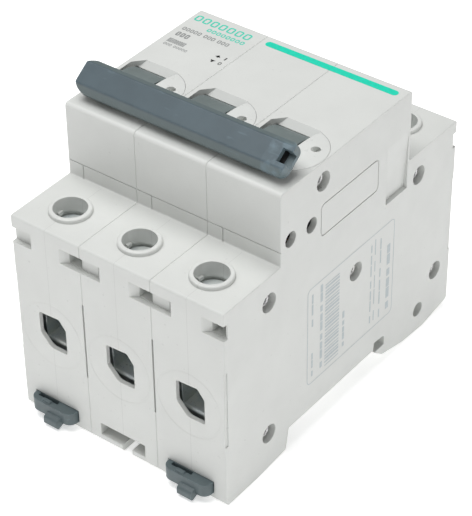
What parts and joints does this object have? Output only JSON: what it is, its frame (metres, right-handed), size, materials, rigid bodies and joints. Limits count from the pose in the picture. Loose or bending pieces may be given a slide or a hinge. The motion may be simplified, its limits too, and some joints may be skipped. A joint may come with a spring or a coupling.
{
  "type": "miniature circuit breaker",
  "caption": "Multi-pole miniature circuit breaker for a 35 mm DIN rail, toggles joined by a tie bar, with screw-cage terminals on two faces and sliding rail clips.",
  "frame": {"origin": "on the rail seat, in the middle pole, below the middle of the raised front", "axes": "+Z out of the front with the toggles, +X across the poles, -Y towards the face with the DIN clips"},
  "size_m": [0.054, 0.0851, 0.0743],
  "materials": {
    "body_plastic": "light grey thermoplastic, fine matt texture",
    "guard_plastic": "white thermoplastic, satin",
    "handle_plastic": "slate blue-grey thermoplastic, satin",
    "hub_plastic": "grey thermoplastic, matt",
    "clip_plastic": "slate grey thermoplastic, satin",
    "inner_plastic": "tan thermoset",
    "zinc_steel": "zinc-plated steel",
    "bright_steel": "bright steel",
    "coated_steel": "grey phosphated steel",
    "copper": "bare copper",
    "bimetal_strip": "rolled bimetal"
  },
  "bodies": {
    "casing": {"pole_1_case": "body_plastic", "pole_2_case": "body_plastic", "pole_3_case": "body_plastic", "pole_1_cover": "body_plastic", "pole_2_cover": "body_plastic", "pole_3_cover": "body_plastic", "toggle_guard_1": "guard_plastic", "toggle_guard_2": "guard_plastic", "toggle_guard_3": "guard_plastic", "fixed_contact_1": "copper", "fixed_contact_2": "copper", "fixed_contact_3": "copper", "arc_chute_1": "coated_steel", "arc_chute_2": "coated_steel", "arc_chute_3": "coated_steel", "trip_coil_1": "copper", "trip_coil_2": "copper", "trip_coil_3": "copper", "bimetal_1": "bimetal_strip", "bimetal_2": "bimetal_strip", "bimetal_3": "bimetal_strip", "rivets": "bright_steel", "toggle_axles": "bright_steel", "pivot_pins": "bright_steel", "return_springs": "bright_steel", "coil_yokes": "coated_steel", "arc_runners": "copper", "braids": "copper", "terminal_plates": "zinc_steel"},
    "handle": {"handle_tie_bar": "handle_plastic", "toggle_lever_1": "hub_plastic", "toggle_lever_2": "hub_plastic", "toggle_lever_3": "hub_plastic"},
    "contact_arm_1": {"moving_contact_1": "copper"},
    "link_1": {"link_rod_1": "bright_steel"},
    "trip_latch_1": {"trip_lever_1": "inner_plastic"},
    "striker_1": {"plunger_1": "bright_steel"},
    "contact_arm_2": {"moving_contact_2": "copper"},
    "link_2": {"link_rod_2": "bright_steel"},
    "trip_latch_2": {"trip_lever_2": "inner_plastic"},
    "striker_2": {"plunger_2": "bright_steel"},
    "contact_arm_3": {"moving_contact_3": "copper"},
    "link_3": {"link_rod_3": "bright_steel"},
    "trip_latch_3": {"trip_lever_3": "inner_plastic"},
    "striker_3": {"plunger_3": "bright_steel"},
    "lower_screw_1": {"lower_screw_1": "zinc_steel"},
    "lower_cage_1": {"lower_cage_1": "zinc_steel"},
    "lower_screw_2": {"lower_screw_2": "zinc_steel"},
    "lower_cage_2": {"lower_cage_2": "zinc_steel"},
    "lower_screw_3": {"lower_screw_3": "zinc_steel"},
    "lower_cage_3": {"lower_cage_3": "zinc_steel"},
    "upper_screw_1": {"upper_screw_1": "zinc_steel"},
    "upper_cage_1": {"upper_cage_1": "zinc_steel"},
    "upper_screw_2": {"upper_screw_2": "zinc_steel"},
    "upper_cage_2": {"upper_cage_2": "zinc_steel"},
    "upper_screw_3": {"upper_screw_3": "zinc_steel"},
    "upper_cage_3": {"upper_cage_3": "zinc_steel"},
    "din_clip_1": {"din_clip_1": "clip_plastic"},
    "din_clip_3": {"din_clip_3": "clip_plastic"}
  },
  "joints": [
    {"name": "handle", "type": "hinge", "parent": "casing", "child": "handle", "pos_m": [0, -0.0085, 0.053], "axis": [-1, 0, 0], "range_deg": [0, 70]},
    {"name": "contact_1", "type": "hinge", "parent": "casing", "child": "contact_arm_1", "pos_m": [-0.018, -0.0145, 0.033], "axis": [-1, 0, 0], "range_deg": [0, 16.5]},
    {"name": "link_1", "type": "hinge", "parent": "handle", "child": "link_1", "pos_m": [-0.018, -0.004, 0.04985], "axis": [-1, 0, 0], "range_deg": [-91, 0]},
    {"name": "trip_1", "type": "hinge", "parent": "casing", "child": "trip_latch_1", "pos_m": [-0.018, -0.02, 0.04], "axis": [1, 0, 0], "range_deg": [0, 6], "stiffness_Nm_per_rad": 0.003},
    {"name": "striker_1", "type": "slide", "parent": "casing", "child": "striker_1", "axis": [0, -1, 0], "range_m": [0, 0.002], "stiffness_N_per_m": 150},
    {"name": "contact_2", "type": "hinge", "parent": "casing", "child": "contact_arm_2", "pos_m": [0, -0.0145, 0.033], "axis": [-1, 0, 0], "range_deg": [0, 16.5]},
    {"name": "link_2", "type": "hinge", "parent": "handle", "child": "link_2", "pos_m": [0, -0.004, 0.04985], "axis": [-1, 0, 0], "range_deg": [-91, 0]},
    {"name": "trip_2", "type": "hinge", "parent": "casing", "child": "trip_latch_2", "pos_m": [0, -0.02, 0.04], "axis": [1, 0, 0], "range_deg": [0, 6], "stiffness_Nm_per_rad": 0.003},
    {"name": "striker_2", "type": "slide", "parent": "casing", "child": "striker_2", "axis": [0, -1, 0], "range_m": [0, 0.002], "stiffness_N_per_m": 150},
    {"name": "contact_3", "type": "hinge", "parent": "casing", "child": "contact_arm_3", "pos_m": [0.018, -0.0145, 0.033], "axis": [-1, 0, 0], "range_deg": [0, 16.5]},
    {"name": "link_3", "type": "hinge", "parent": "handle", "child": "link_3", "pos_m": [0.018, -0.004, 0.04985], "axis": [-1, 0, 0], "range_deg": [-91, 0]},
    {"name": "trip_3", "type": "hinge", "parent": "casing", "child": "trip_latch_3", "pos_m": [0.018, -0.02, 0.04], "axis": [1, 0, 0], "range_deg": [0, 6], "stiffness_Nm_per_rad": 0.003},
    {"name": "striker_3", "type": "slide", "parent": "casing", "child": "striker_3", "axis": [0, -1, 0], "range_m": [0, 0.002], "stiffness_N_per_m": 150},
    {"name": "lower_screw_turn_1", "type": "hinge", "parent": "casing", "child": "lower_screw_1", "pos_m": [-0.018, -0.0326, 0.036], "axis": [0, 0, -1], "range_deg": [0, 2700]},
    {"name": "lower_cage_lift_1", "type": "slide", "parent": "casing", "child": "lower_cage_1", "axis": [0, 0, 1], "range_m": [0, 0.006]},
    {"name": "lower_screw_turn_2", "type": "hinge", "parent": "casing", "child": "lower_screw_2", "pos_m": [0, -0.0326, 0.036], "axis": [0, 0, -1], "range_deg": [0, 2700]},
    {"name": "lower_cage_lift_2", "type": "slide", "parent": "casing", "child": "lower_cage_2", "axis": [0, 0, 1], "range_m": [0, 0.006]},
    {"name": "lower_screw_turn_3", "type": "hinge", "parent": "casing", "child": "lower_screw_3", "pos_m": [0.018, -0.0326, 0.036], "axis": [0, 0, -1], "range_deg": [0, 2700]},
    {"name": "lower_cage_lift_3", "type": "slide", "parent": "casing", "child": "lower_cage_3", "axis": [0, 0, 1], "range_m": [0, 0.006]},
    {"name": "upper_screw_turn_1", "type": "hinge", "parent": "casing", "child": "upper_screw_1", "pos_m": [-0.018, 0.0326, 0.036], "axis": [0, 0, -1], "range_deg": [0, 2700]},
    {"name": "upper_cage_lift_1", "type": "slide", "parent": "casing", "child": "upper_cage_1", "axis": [0, 0, 1], "range_m": [0, 0.006]},
    {"name": "upper_screw_turn_2", "type": "hinge", "parent": "casing", "child": "upper_screw_2", "pos_m": [0, 0.0326, 0.036], "axis": [0, 0, -1], "range_deg": [0, 2700]},
    {"name": "upper_cage_lift_2", "type": "slide", "parent": "casing", "child": "upper_cage_2", "axis": [0, 0, 1], "range_m": [0, 0.006]},
    {"name": "upper_screw_turn_3", "type": "hinge", "parent": "casing", "child": "upper_screw_3", "pos_m": [0.018, 0.0326, 0.036], "axis": [0, 0, -1], "range_deg": [0, 2700]},
    {"name": "upper_cage_lift_3", "type": "slide", "parent": "casing", "child": "upper_cage_3", "axis": [0, 0, 1], "range_m": [0, 0.006]},
    {"name": "clip_1", "type": "slide", "parent": "casing", "child": "din_clip_1", "axis": [0, -1, 0], "range_m": [0, 0.005]},
    {"name": "clip_3", "type": "slide", "parent": "casing", "child": "din_clip_3", "axis": [0, -1, 0], "range_m": [0, 0.005]}
  ],
  "couplings": [
    {"joint": "contact_1", "follows": "handle", "ratio": 0.23571},
    {"joint": "link_1", "follows": "handle", "ratio": -1.3},
    {"joint": "contact_2", "follows": "handle", "ratio": 0.23571},
    {"joint": "link_2", "follows": "handle", "ratio": -1.3},
    {"joint": "contact_3", "follows": "handle", "ratio": 0.23571},
    {"joint": "link_3", "follows": "handle", "ratio": -1.3},
    {"joint": "lower_screw_turn_1", "follows": "lower_cage_lift_1", "rad_per_m": 7853.9},
    {"joint": "lower_screw_turn_2", "follows": "lower_cage_lift_2", "rad_per_m": 7853.9},
    {"joint": "lower_screw_turn_3", "follows": "lower_cage_lift_3", "rad_per_m": 7853.9},
    {"joint": "upper_screw_turn_1", "follows": "upper_cage_lift_1", "rad_per_m": 7853.9},
    {"joint": "upper_screw_turn_2", "follows": "upper_cage_lift_2", "rad_per_m": 7853.9},
    {"joint": "upper_screw_turn_3", "follows": "upper_cage_lift_3", "rad_per_m": 7853.9}
  ]
}
